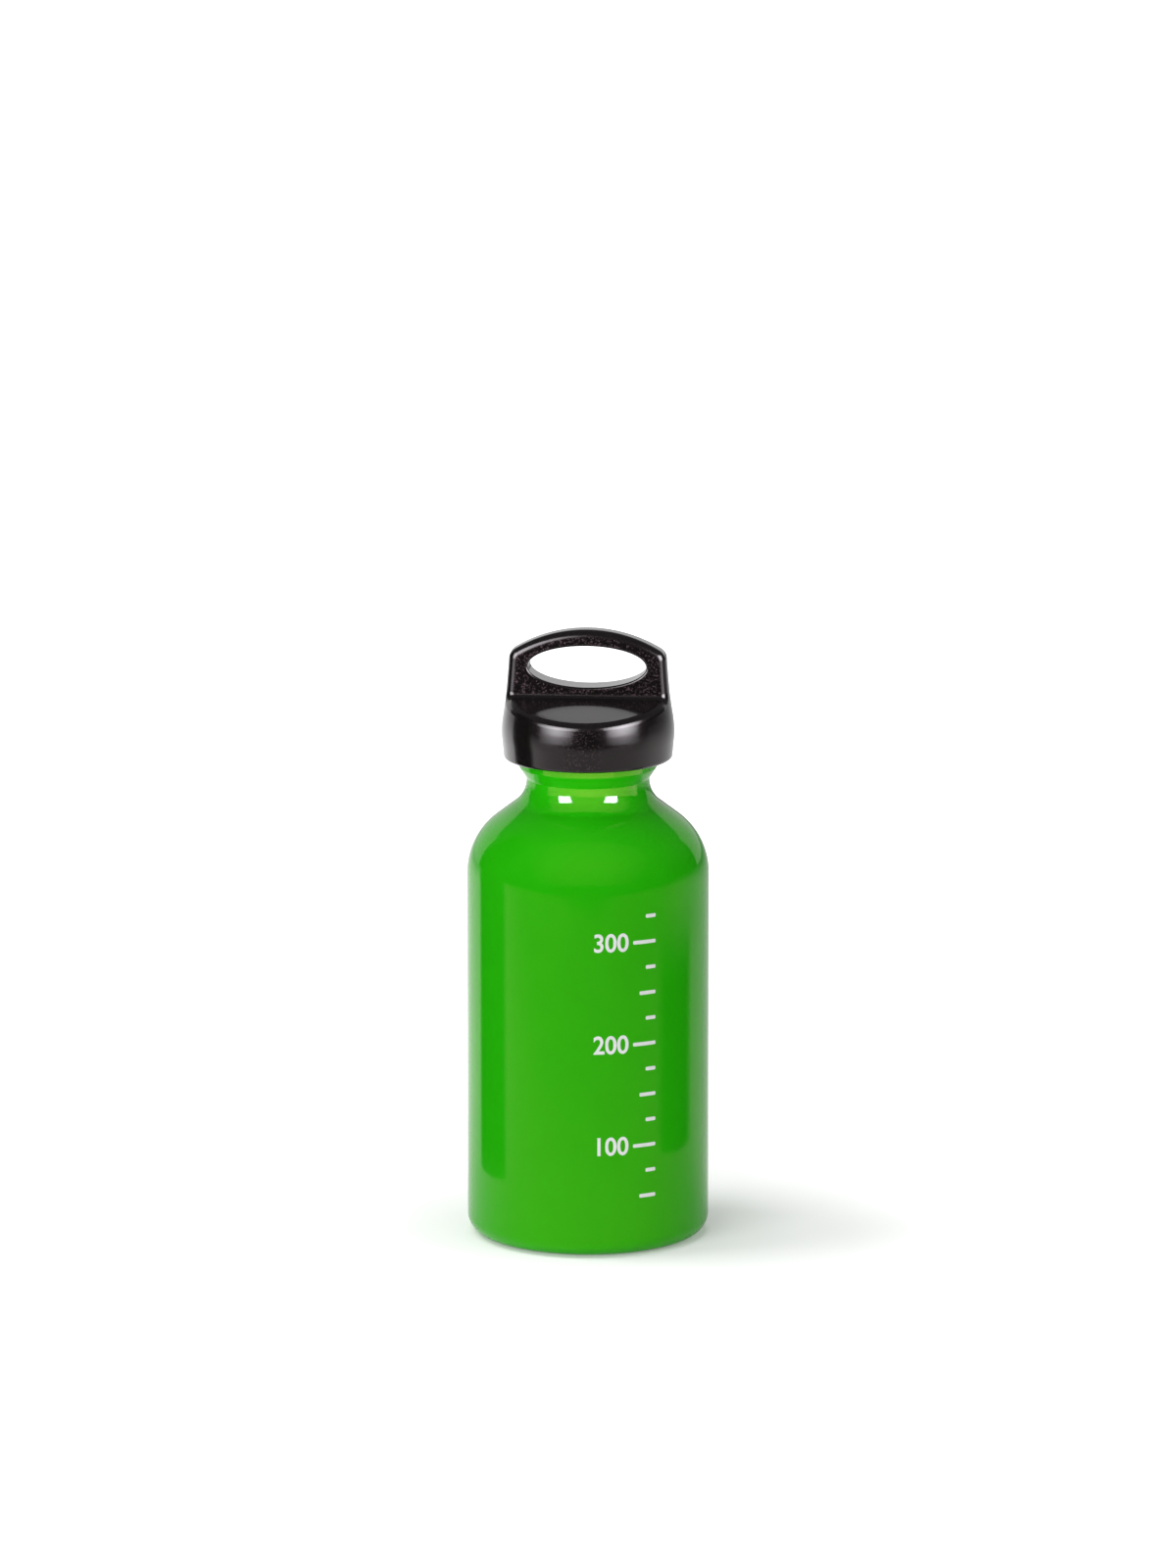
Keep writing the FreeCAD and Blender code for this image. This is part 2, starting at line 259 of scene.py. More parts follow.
def makeThread(name, place, size):
    root, crest, foot = place["root"], place["crest"], place["foot"]
    middle = (root + crest) / 2
    deselectAll()
    bpy.ops.mesh.primitive_plane_add(size=1, location=(middle * mm, 0, foot * mm), rotation=upright)
    ridge = bpy.context.object
    ridge.name = name
    ridge.scale = (abs(root - crest) * mm, size["rootWidth"] * mm, 1)
    bpy.ops.object.transform_apply(location=True, rotation=True, scale=True)
    outward = 1 if crest > root else -1
    selectWhere(ridge, lambda vertex: (vertex.co.x - middle * mm) * outward > 0)
    narrow = size["crestWidth"] / size["rootWidth"]
    bpy.ops.transform.resize(value=(1, 1, narrow), center_override=(crest * mm, 0, foot * mm))
    bpy.ops.mesh.bevel(offset=size["crestRound"] * mm, segments=size["crestSteps"], affect="VERTICES")
    bpy.ops.mesh.select_all(action="SELECT")
    bpy.ops.mesh.delete(type="ONLY_FACE")
    bpy.ops.object.mode_set(mode="OBJECT")
    ringSize = len(ridge.data.vertices)
    steps = round(size["stepsPerTurn"] * size["turns"])
    useModifier(ridge, "SCREW", axis="Z", angle=fullTurn * size["turns"], iterations=1, steps=steps,
                render_steps=steps, screw_offset=size["pitch"] * size["turns"] * mm)
    rings = len(ridge.data.vertices) // ringSize
    for step in range(size["fadeSteps"]):  # both ends run out into the wall
        share = math.sin((step + 0.5) / size["fadeSteps"] * math.pi / 2)
        shrink = (root + (crest - root) * share) / crest
        ends = (step, rings - 1 - step)
        selectWhere(ridge, lambda vertex: vertex.index // ringSize in ends
                    and (vertex.co.xy.length - middle * mm) * outward > 0)
        bpy.ops.transform.resize(value=(shrink, shrink, 1), center_override=(0, 0, 0))
    bpy.ops.mesh.select_all(action="SELECT")
    bpy.ops.mesh.fill_holes(sides=ringSize)
    closeMesh(ridge, smoothFine)
    print(name, "cut:", rings, "sections")
    return ridge


neckThread = makeThread("neckThread", neckThreadPlace, threadSizes)
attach(neckThread, "bottle")
plugThread = makeThread("plugThread", plugThreadPlace, threadSizes)
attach(plugThread, "stopper")


# Return spring under the cap, which shortens when the cap is pressed; the coil is wound here from its foot
# to its head
springSizes = {
    "wire": 1.1,
    "meanRadius": 7.6,
    "turns": 5,
    "foot": 131.39,
    "head": 147.49,
    "wireSides": 14,
    "stepsPerTurn": 48,
    "pressTravel": 1.5,
}


def makeSpring(size):
    wireRadius = size["wire"] / 2
    start = (size["meanRadius"] * mm, 0, (size["foot"] + wireRadius) * mm)
    rise = size["head"] - size["foot"] - size["wire"]
    deselectAll()
    bpy.ops.mesh.primitive_circle_add(vertices=size["wireSides"], radius=wireRadius * mm, location=start,
                                      rotation=upright)
    coil = bpy.context.object
    coil.name = "springCoil"
    bpy.ops.object.transform_apply(location=True, rotation=True, scale=True)
    steps = size["stepsPerTurn"] * size["turns"]
    useModifier(coil, "SCREW", axis="Z", angle=fullTurn * size["turns"], iterations=1, steps=steps,
                render_steps=steps, screw_offset=rise * mm)
    enterEdit(coil)
    bpy.ops.mesh.select_all(action="SELECT")
    bpy.ops.mesh.fill_holes(sides=size["wireSides"])
    closeMesh(coil, smoothFine)
    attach(coil, "spring")
    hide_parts("return_spring")
    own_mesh(coil)
    print("spring wound:", size["turns"], "turns of", size["wire"], "mm wire")
    return coil


springCoil = makeSpring(springSizes)


# Fill scale printed on the front: plain ticks and numbers
scaleSizes = {
    "azimuth": 25.0,  # degrees from the front towards +X
    "emptyHeight": 2.8,  # level at 0 ml, with the dished base allowed for
    "heightPerMl": 0.2905,
    "firstVolume": 50,
    "lastVolume": 325,
    "volumeStep": 25,
    "longTick": 7.4,
    "middleTick": 5.4,
    "shortTick": 3.4,
    "tickHeight": 1.05,
    "tickRound": 0.315,
    "tickSteps": 3,
    "digitSize": 7.2,
    "digitWeight": 0.13,
    "digitGap": 1.3,
    "rightEdge": 8.4,
    "cutEvery": 0.8,
    "cutReach": 20,  # half the width that is cut into strips
    "standOff": 1,  # where the flat print waits before it is laid on the wall
    "lift": 0.012,
    "thickness": 0.01,
}


def makeTick(width, right, height, size):
    deselectAll()
    middle = right - width / 2
    bpy.ops.mesh.primitive_plane_add(size=1, location=(middle * mm, 0, height * mm), rotation=upright)
    tick = bpy.context.object
    tick.scale = (width * mm, size["tickHeight"] * mm, 1)
    bpy.ops.object.transform_apply(location=True, rotation=True, scale=True)
    enterEdit(tick)
    bpy.ops.mesh.select_all(action="SELECT")
    bpy.ops.mesh.bevel(offset=size["tickRound"] * mm, segments=size["tickSteps"], affect="VERTICES")
    bpy.ops.object.mode_set(mode="OBJECT")
    return tick


def makeNumber(volume, right, height, size):
    deselectAll()
    bpy.ops.object.text_add(rotation=upright)
    number = bpy.context.object
    number.data.body = str(volume)
    number.data.size = size["digitSize"] * mm
    number.data.offset = size["digitWeight"] * mm
    number.data.align_x, number.data.align_y = "RIGHT", "CENTER"
    bpy.ops.object.convert(target="MESH")
    number = bpy.context.object
    number.location = (right * mm, 0, height * mm)
    bpy.ops.object.transform_apply(location=True, rotation=True, scale=True)
    return number


def makeFillScale(size, wall):
    marks = []
    for volume in range(size["firstVolume"], size["lastVolume"] + 1, size["volumeStep"]):
        height = size["emptyHeight"] + volume * size["heightPerMl"]
        hundred, fifty = volume % 100 == 0, volume % 50 == 0
        width = size["longTick"] if hundred else size["middleTick"] if fifty else size["shortTick"]
        marks.append(makeTick(width, size["rightEdge"], height, size))
        if hundred:
            right = size["rightEdge"] - size["longTick"] - size["digitGap"]
            marks.append(makeNumber(volume, right, height, size))
    deselectAll()
    for mark in marks:
        mark.select_set(True)
    bpy.context.view_layer.objects.active = marks[0]
    bpy.ops.object.join()
    ink = bpy.context.object
    ink.name = "fillScale"
    enterEdit(ink)
    bpy.ops.mesh.select_all(action="SELECT")
    bpy.ops.mesh.remove_doubles(threshold=mergeDistance)
    reach = math.ceil(size["cutReach"] / size["cutEvery"])
    for cut in range(-reach, reach):  # narrow strips, so that the print can follow the wall
        bpy.ops.mesh.select_all(action="SELECT")
        bpy.ops.mesh.bisect(plane_co=(cut * size["cutEvery"] * mm, 0, 0), plane_no=(1, 0, 0))
    bpy.ops.object.mode_set(mode="OBJECT")
    ink.location.y = -(bottleSizes["bodyRadius"] + size["standOff"]) * mm
    bpy.ops.object.transform_apply(location=True, rotation=True, scale=True)
    ink.rotation_euler.z = math.radians(size["azimuth"])
    bpy.ops.object.transform_apply(location=True, rotation=True, scale=True)
    useModifier(ink, "SHRINKWRAP", target=wall, wrap_method="NEAREST_SURFACEPOINT", wrap_mode="ON_SURFACE",
                offset=size["lift"] * mm)
    useModifier(ink, "SOLIDIFY", thickness=size["thickness"] * mm, offset=1)
    closeMesh(ink, smoothFine)
    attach(ink, "bottle")
    print("fill scale printed:", len(marks), "marks")
    return ink


fillScale = makeFillScale(scaleSizes, bottleBody)


class Link:  # one shader output, so that sums on values read as plain Python
    def __init__(self, finish, output):
        self.finish, self.output = finish, output

    def sums(self, operation, first, second):
        return self.finish.add("ShaderNodeMath", {"operation": operation}, {0: first, 1: second})

    def __add__(self, other):
        return self.sums("ADD", self, other)

    def __radd__(self, other):
        return self.sums("ADD", other, self)

    def __sub__(self, other):
        return self.sums("SUBTRACT", self, other)

    def __rsub__(self, other):
        return self.sums("SUBTRACT", other, self)

    def __mul__(self, other):
        return self.sums("MULTIPLY", self, other)

    def __rmul__(self, other):
        return self.sums("MULTIPLY", other, self)

    def __truediv__(self, other):
        return self.sums("DIVIDE", self, other)

    def __pow__(self, other):
        return self.sums("POWER", self, other)


class Finish:  # the nodes of one material or of the world
    def __init__(self, holder):
        holder.use_nodes = True
        self.holder, self.tree = holder, holder.node_tree
        self.tree.nodes.clear()

    def add(self, kind, settings, sockets, output=0):
        node = self.tree.nodes.new(kind)
        for name, value in settings.items():
            setattr(node, name, value)
        for name, value in sockets.items():
            if isinstance(value, Link):
                self.tree.links.new(value.output, node.inputs[name])
            else:
                node.inputs[name].default_value = value
        return Link(self, node.outputs[output]) if node.outputs else node

    def coordinates(self):
        return self.add("ShaderNodeTexCoord", {}, {}, "Object")

    def parts(self, vector):  # x, y and z
        return [self.add("ShaderNodeSeparateXYZ", {}, {0: vector}, axis) for axis in range(3)]

    def place(self, coordinates):  # height and distance from the bottle's axis, in metres
        x, y, z = self.parts(coordinates)
        return z, (x * x + y * y) ** 0.5

    def rings(self, coordinates):  # the same all the way round, for marks of turning and drawing
        height, radius = self.place(coordinates)
        return self.add("ShaderNodeCombineXYZ", {}, {"X": radius, "Z": height})

    def noise(self, coordinates, size, detail):  # size of the speckles in millimetres
        sockets = {"Vector": coordinates, "Scale": 1 / (size * mm), "Detail": detail}
        return self.add("ShaderNodeTexNoise", {}, sockets)

    def fade(self, value, low, high):  # 0 below low, 1 above high
        ends = {"Value": value, "From Min": low, "From Max": high}
        return self.add("ShaderNodeMapRange", {"interpolation_type": "SMOOTHSTEP"}, ends)

    def fadeAlong(self, distance, low, high):  # the same, with its ends in millimetres
        return self.fade(distance, low * mm, high * mm)

    def between(self, share, first, second):  # mix of two colours
        return self.add("ShaderNodeMix", {"data_type": "RGBA"}, {0: share, 6: first, 7: second}, 2)

    def bump(self, height, depth):  # depth in millimetres
        return self.add("ShaderNodeBump", {}, {"Height": height, "Distance": depth * mm, "Strength": 1.0})

    def shader(self, sockets):
        surface = self.add("ShaderNodeBsdfPrincipled", {}, sockets)
        self.add("ShaderNodeOutputMaterial", {}, {"Surface": surface})
        return self.holder


def newFinish(name):
    return Finish(bpy.data.materials.new(name))


# Gloss green paint with a faint orange peel, scuffed where the bottle stands
paintLook = {
    "green": (0.0175, 0.415, 0.003, 1),
    "deepGreen": (0.0135, 0.385, 0.002, 1),
    "scuff": (0.16, 0.42, 0.12, 1),
    "gloss": (0.85, 0.6, 0.16, 1),
    "mottle": 9.0,
    "peel": 1.3,
    "peelDepth": 0.002,
    "roughness": 0.05,
    "mottleRoughness": 0.04,
    "scuffRoughness": 0.45,
    "scuffSize": 0.9,
    "scuffShare": (0.48, 0.62),
    "scuffHeight": (0.2, 1.1),
    "scuffRadius": (22, 25),
    "glossLevel": 0.5,
}


def greenPaint(look):
    finish = newFinish("greenPaint")
    coordinates = finish.coordinates()
    height, radius = finish.place(coordinates)
    mottle = finish.noise(coordinates, look["mottle"], 3)
    specks = finish.noise(coordinates, look["scuffSize"], 4)
    standing = 1 - finish.fadeAlong(height, *look["scuffHeight"])
    standing = standing * finish.fadeAlong(radius, *look["scuffRadius"])
    scuffed = standing * finish.fade(specks, *look["scuffShare"])
    colour = finish.between(mottle, look["green"], look["deepGreen"])
    colour = finish.between(scuffed, colour, look["scuff"])
    peel = finish.noise(coordinates, look["peel"], 2)
    return finish.shader({
        "Base Color": colour,
        "Roughness": look["roughness"] + look["mottleRoughness"] * mottle + look["scuffRoughness"] * scuffed,
        "Specular IOR Level": look["glossLevel"],
        "Specular Tint": look["gloss"],
        "Normal": finish.bump(peel, look["peelDepth"]),
    })


# Bare aluminium inside and at the lip, with fine turning rings
aluminiumLook = {
    "bright": (0.78, 0.78, 0.77, 1),
    "dull": (0.62, 0.62, 0.61, 1),
    "ring": 0.35,
    "ringDepth": 0.004,
    "stain": 14,
    "roughness": 0.28,
    "ringRoughness": 0.2,
    "stainRoughness": 0.1,
}


def bareAluminium(look):
    finish = newFinish("bareAluminium")
    coordinates = finish.coordinates()
    turned = finish.noise(finish.rings(coordinates), look["ring"], 4)
    stain = finish.noise(coordinates, look["stain"], 3)
    return finish.shader({
        "Base Color": finish.between(stain, look["bright"], look["dull"]),
        "Metallic": 1.0,
        "Roughness": look["roughness"] + look["ringRoughness"] * turned + look["stainRoughness"] * stain,
        "Normal": finish.bump(turned, look["ringDepth"]),
    })


# Black moulded cap: a broad sheen under a gloss skin, with grain on the flat faces of the loop, and painted
# glints as paler flecks on that grain
capLook = {
    "black": (0.0045, 0.004, 0.004, 1),
    "paintedGlint": (0.11, 0.073, 0.085, 1),
    "sheen": (1.0, 0.66, 0.72, 1),
    "sheenLevel": 0.28,
    "grain": 0.6,
    "grainDepth": 0.02,
    "grainRelief": 0.15,
    "panelRelief": 1.6,  # extra on the loop's flat faces
    "fineGrain": 0.22,
    "fineRelief": 0.2,
    "loopFoot": (150.5, 152.5),
    "panelFacing": (0.9, 0.985),  # square of how far a face looks forwards or backwards
    "skirtGrain": 0.3,  # what is left of the grain below the loop
    "paintedGlintShare": (0.5, 0.72),
    "plainPaintedGlints": 0.06,  # what is left of the painted glints off the flat faces
    "roughness": 0.16,
    "grainRoughness": 0.1,
    "coat": 0.95,
    "panelCoatLoss": 0.6,
    "coatRoughness": 0.11,
}


def blackPlastic(look):
    finish = newFinish("blackPlastic")
    coordinates = finish.coordinates()
    height = finish.parts(coordinates)[2]
    across = finish.parts(finish.add("ShaderNodeTexCoord", {}, {}, "Normal"))[1]
    above = finish.fadeAlong(height, *look["loopFoot"])
    panel = finish.fade(across * across, *look["panelFacing"])
    panel = panel * (look["skirtGrain"] + (1 - look["skirtGrain"]) * above)
    grain = finish.noise(coordinates, look["grain"], 3)
    fine = finish.noise(coordinates, look["fineGrain"], 2)
    relief = grain * (look["grainRelief"] + look["panelRelief"] * panel) + look["fineRelief"] * fine
    # Paler base colour on the grain's peaks, mostly on the flat faces: painted glints
    paintedGlints = finish.fade(grain, *look["paintedGlintShare"])
    paintedGlints = paintedGlints * (look["plainPaintedGlints"] + (1 - look["plainPaintedGlints"]) * panel)
    return finish.shader({
        "Base Color": finish.between(paintedGlints, look["black"], look["paintedGlint"]),
        "Roughness": look["roughness"] + look["grainRoughness"] * grain,
        "Specular IOR Level": look["sheenLevel"],
        "Specular Tint": look["sheen"],
        "Coat Weight": look["coat"] - look["panelCoatLoss"] * panel,
        "Coat Roughness": look["coatRoughness"],
        "Normal": finish.bump(relief, look["grainDepth"]),
    })


# Satin dark plastic of the parts inside the cap, with the mould's fine matt texture
satinLook = {
    "dark": (0.030, 0.030, 0.032, 1),
    "pale": (0.042, 0.042, 0.044, 1),
    "flow": 6,
    "texture": 0.3,
    "depth": 0.008,
    "roughness": 0.4,
    "textureRoughness": 0.15,
}


def satinPlastic(look):
    finish = newFinish("satinPlastic")
    coordinates = finish.coordinates()
    texture = finish.noise(coordinates, look["texture"], 3)
    flow = finish.noise(coordinates, look["flow"], 2)
    return finish.shader({
        "Base Color": finish.between(flow, look["dark"], look["pale"]),
        "Roughness": look["roughness"] + look["textureRoughness"] * texture,
        "Normal": finish.bump(texture, look["depth"]),
    })


# Rubber of the sealing ring, with a pale bloom in places
rubberLook = {
    "black": (0.014, 0.014, 0.015, 1),
    "bloom": (0.045, 0.044, 0.042, 1),
    "bloomSize": 3.5,
    "bloomShare": (0.45, 0.75),
    "pores": 0.4,
    "depth": 0.015,
    "roughness": 0.72,
    "poreRoughness": 0.15,
    "sheenLevel": 0.3,
}


def sealRubber(look):
    finish = newFinish("sealRubber")
    coordinates = finish.coordinates()
    pores = finish.noise(coordinates, look["pores"], 4)
    bloom = finish.fade(finish.noise(coordinates, look["bloomSize"], 3), *look["bloomShare"])
    return finish.shader({
        "Base Color": finish.between(bloom, look["black"], look["bloom"]),
        "Roughness": look["roughness"] + look["poreRoughness"] * pores,
        "Specular IOR Level": look["sheenLevel"],
        "Normal": finish.bump(pores, look["depth"]),
    })


# Drawn spring wire
steelLook = {
    "bright": (0.60, 0.60, 0.60, 1),
    "dull": (0.42, 0.42, 0.43, 1),
    "drawn": 0.5,
    "depth": 0.003,
    "roughness": 0.2,
    "drawnRoughness": 0.15,
}


def springSteel(look):
    finish = newFinish("springSteel")
    drawn = finish.noise(finish.rings(finish.coordinates()), look["drawn"], 3)
    return finish.shader({
        "Base Color": finish.between(drawn, look["bright"], look["dull"]),
        "Metallic": 1.0,
        "Roughness": look["roughness"] + look["drawnRoughness"] * drawn,
        "Normal": finish.bump(drawn, look["depth"]),
    })


# White screen print, slightly thin in places
printLook = {
    "white": (0.80, 0.81, 0.80, 1),
    "thin": (0.68, 0.74, 0.67, 1),
    "thinSize": 4,
    "thinShare": (0.55, 0.8),
    "mesh": 0.5,
    "meshDepth": 0.004,
    "roughness": 0.32,
    "meshRoughness": 0.12,
}


def whitePrint(look):
    finish = newFinish("whitePrint")
    coordinates = finish.coordinates()
    mesh = finish.noise(coordinates, look["mesh"], 2)
    thin = finish.fade(finish.noise(coordinates, look["thinSize"], 3), *look["thinShare"])
    return finish.shader({
        "Base Color": finish.between(thin, look["white"], look["thin"]),
        "Roughness": look["roughness"] + look["meshRoughness"] * mesh,
        "Normal": finish.bump(mesh, look["meshDepth"]),
    })


def dress(piece, *finishes):  # own pieces get fresh slots, the frame's nodes keep theirs
    if len(piece.material_slots) == 0:
        for finish in finishes:
            piece.data.materials.append(finish)
    piece.material_slots[0].material = finishes[0]


# Bare inside of the body: walls that look inwards, and the floor that looks up
insideSizes = {"wallFacing": 0.1, "floorFacing": 0.3, "floorTop": 12}


def bareInside(piece, size):  # second finish on those faces
    enterEdit(piece)
    bpy.ops.mesh.select_mode(type="FACE")
    bpy.ops.mesh.select_all(action="DESELECT")
    bpy.ops.object.mode_set(mode="OBJECT")
    for face in piece.data.polygons:
        outwards = face.normal.x * face.center.x + face.normal.y * face.center.y
        floorInside = face.normal.z > size["floorFacing"] and face.center.z < size["floorTop"] * mm
        face.select = outwards < -size["wallFacing"] * face.center.xy.length or floorInside
    bpy.ops.object.mode_set(mode="EDIT")
    piece.active_material_index = 1
    bpy.ops.object.material_slot_assign()
    bpy.ops.object.mode_set(mode="OBJECT")


paint, aluminium = greenPaint(paintLook), bareAluminium(aluminiumLook)
satin = satinPlastic(satinLook)
dress(bottleBody, paint, aluminium)
bareInside(bottleBody, insideSizes)
dress(bottleNeck, paint)
dress(bottleMouth, aluminium)
dress(neckThread, aluminium)
dress(plugThread, satin)
dress(springCoil, springSteel(steelLook))
dress(fillScale, whitePrint(printLook))
dress(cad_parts["overcap"], blackPlastic(capLook))
dress(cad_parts["stopper"], satin)
dress(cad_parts["retaining_ring"], satin)
dress(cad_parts["sealing_ring"], sealRubber(rubberLook))
print("finishes on")


# Camera: same view and framing as the photograph
cameraSetup = {
    "azimuth": 5.0,
    "elevation": 11.8,
    "distance": 2.5,
    "aimHeight": 0.1284,
    "frameHeight": 0.4391,
    "sensor": 36,
    "clip": (0.05, 60),
}


def studioSpot(azimuth, elevation, distance, height):  # azimuth from the camera, positive to its right
    turn, tilt = math.radians(cameraSetup["azimuth"] + azimuth), math.radians(elevation)
    away = Vector((math.sin(turn) * math.cos(tilt), -math.cos(turn) * math.cos(tilt), math.sin(tilt)))
    return Vector((0, 0, height)) + away * distance


def aimAt(item, height):
    item.rotation_mode = "QUATERNION"
    item.rotation_quaternion = (Vector((0, 0, height)) - item.location).to_track_quat("-Z", "Y")


def placeCamera(setup):
    lens = bpy.data.cameras.new("photoLens")
    lens.sensor_width = setup["sensor"]
    lens.lens = setup["sensor"] / (setup["frameHeight"] / setup["distance"])
    lens.clip_start, lens.clip_end = setup["clip"]
    camera = bpy.data.objects.new("photoCamera", lens)
    bpy.context.scene.collection.objects.link(camera)
    camera.location = studioSpot(0, setup["elevation"], setup["distance"], setup["aimHeight"])
    aimAt(camera, setup["aimHeight"])
    bpy.context.scene.camera = camera


placeCamera(cameraSetup)

# Studio: a white table with a front edge, a white backdrop, a dark room in front and a pale ceiling
studioSetup = {
    "floorSize": 40,
    "tableFront": 0.53,
    "tableEdge": 0.01,  # half the width of its soft edge
    "floorColour": 0.78,
    "floorLift": 0.22,
    "farReach": (0.02, 0.25),  # distances over which the floor's painted glow turns it white
    "frontShade": 0.45,  # how much darker the floor is where it mirrors in front of the bottle
    "frontReach": (-0.3, 0.1),
    "rightShade": 0.9,  # and on its right
    "rightReach": (-0.12, 0.12),
    "backLift": 0.28,  # painted light: how much of the far floor's white is in the mirrored floor on the left
    "leftReach": (-0.1, 0.03),
    "backdropSpread": 1.24,  # half width over distance
    "backdropRise": 0.76,  # height over distance
    "sideFade": 0.03,
    "topFade": 0.06,
    "backdropShade": 0.15,
    "shadeReach": (-0.6, 0.6),
    "darkRoom": 0.04,
    "ceiling": 0.1,
    "ceilingReach": (0.1, 0.5),
    "fill": 0.2,
    "roomLevel": 0.8,  # light of the room on the bottle, beside the white that the camera sees
}


def cameraTurned(finish, coordinates):  # x to the camera's right, y away from it
    turned = finish.add("ShaderNodeVectorRotate", {"rotation_type": "Z_AXIS"},
                        {"Vector": coordinates, "Angle": -math.radians(cameraSetup["azimuth"])})
    return finish.parts(turned)


def lightPaths(finish):  # camera rays, and rays that a mirror or glass sends on
    camera = finish.add("ShaderNodeLightPath", {}, {}, "Is Camera Ray")
    mirrored = finish.add("ShaderNodeLightPath", {}, {}, "Is Glossy Ray")
    shone = finish.add("ShaderNodeLightPath", {}, {}, "Is Transmission Ray")
    return camera, mirrored + shone


def makeFloor(setup):
    deselectAll()
    bpy.ops.mesh.primitive_plane_add(size=setup["floorSize"])
    floor = bpy.context.object
    floor.name = "floor"
    finish = newFinish("paleFloor")
    right, away = cameraTurned(finish, finish.coordinates())[:2]
    camera, mirrored = lightPaths(finish)
    # Painted light and shade on the floor: its glow turns it white away from the bottle, and where it
    # mirrors in the bottle it is painted darker in front and on the right and lighter on the left
    far = finish.fade((right * right + away * away) ** 0.5, *setup["farReach"])
    front = mirrored * (1 - finish.fade(away, *setup["frontReach"]))
    rightSide = mirrored * finish.fade(right, *setup["rightReach"])
    leftSide = mirrored * (1 - finish.fade(right, *setup["leftReach"]))
    shade = (1 - front) * (1 - rightSide * setup["rightShade"])
    white = (camera + leftSide * setup["backLift"]) * far
    lift = shade * (setup["floorLift"] + white * (1 - setup["floorLift"]))
    colour = setup["floorColour"] * (1 - front * setup["frontShade"])
    matt = finish.add("ShaderNodeBsdfDiffuse", {}, {"Color": colour})
    glow = finish.add("ShaderNodeEmission", {}, {"Strength": lift})
    table = finish.add("ShaderNodeAddShader", {}, {0: matt, 1: glow})
    room = finish.add("ShaderNodeEmission", {}, {"Strength": setup["darkRoom"]})
    edge, softness = -setup["tableFront"], setup["tableEdge"]
    beyond = 1 - finish.fade(away, edge - softness, edge + softness)
    surface = finish.add("ShaderNodeMixShader", {}, {0: beyond * mirrored, 1: table, 2: room})
    finish.add("ShaderNodeOutputMaterial", {}, {"Surface": surface})
    finish.holder.cycles.emission_sampling = "NONE"
    dress(floor, finish.holder)
    return floor


def makeWorld(setup):
    world = bpy.data.worlds.new("studio")
    bpy.context.scene.world = world
    finish = Finish(world)
    right, away, up = cameraTurned(finish, finish.add("ShaderNodeTexCoord", {}, {}, "Generated"))
    camera, mirrored = lightPaths(finish)
    sideways = finish.add("ShaderNodeMath", {"operation": "ABSOLUTE"}, {0: right})
    backdrop = finish.fade(away - sideways / setup["backdropSpread"], 0, setup["sideFade"])
    backdrop = backdrop * finish.fade(away - up / setup["backdropRise"], 0, setup["topFade"])
    pale = 1 - finish.fade(right, *setup["shadeReach"]) * setup["backdropShade"]
    room = setup["darkRoom"] + finish.fade(up, *setup["ceilingReach"]) * setup["ceiling"]
    reflected = room + backdrop * (pale - room)
    unseen = mirrored * reflected + (1 - mirrored) * setup["fill"]
    level = camera + (1 - camera) * unseen * setup["roomLevel"]
    background = finish.add("ShaderNodeBackground", {}, {"Color": (1, 1, 1, 1), "Strength": level})
    finish.add("ShaderNodeOutputWorld", {}, {"Surface": background})


def makeLamp(name, power, size, place, height):
    light = bpy.data.lights.new(name, "AREA")
    light.energy, light.shape = power, "RECTANGLE"
    light.size, light.size_y = size
    lamp = bpy.data.objects.new(name, light)
    bpy.context.scene.collection.objects.link(lamp)
    lamp.location = place
    aimAt(lamp, height)
    return lamp


def shineOnly(lamp, *pieces):
    subject = bpy.data.collections.new(lamp.name + "Subject")
    for piece in pieces:
        subject.objects.link(piece)
    lamp.light_linking.receiver_collection = subject


# Lamps with azimuth and elevation seen from the bottle; the last three light only neck, shoulder and floor
lampSizes = {
    "keyLamp": {"azimuth": -29, "elevation": 25, "distance": 1.8, "aim": 0.08,
                "size": (1.2, 1.2), "spread": 180, "power": 15.8},
    "sideLamp": {"azimuth": -90, "elevation": 55, "distance": 1.6, "aim": 0.08,
                 "size": (0.7, 0.7), "spread": 180, "power": 4},
    "rightLamp": {"azimuth": 72, "elevation": 45, "distance": 1.6, "aim": 0.08,
                  "size": (0.7, 0.7), "spread": 180, "power": 3},
    "topLamp": {"azimuth": 0, "elevation": 88, "distance": 1.6, "aim": 0.08,
                "size": (0.7, 0.7), "spread": 180, "power": 7.8},
    "neckLamp": {"azimuth": -8, "elevation": 4, "distance": 0.6, "aim": 0.125,
                 "size": (0.4, 0.1), "spread": 180, "power": 1.3},
    "shoulderLamp": {"azimuth": -4, "elevation": 6, "distance": 0.25, "aim": 0.126,
                     "size": (0.3, 0.01), "spread": 20, "power": 0.006},
    "floorLamp": {"azimuth": -90, "elevation": 60, "distance": 1.6, "aim": 0.08,
                  "size": (0.7, 0.7), "spread": 180, "power": 8.2},
}


def makeStudioLamp(name, size):
    spot = studioSpot(size["azimuth"], size["elevation"], size["distance"], size["aim"])
    lamp = makeLamp(name, size["power"], size["size"], spot, size["aim"])
    lamp.data.spread = math.radians(size["spread"])
    lamp.visible_glossy = False
    return lamp


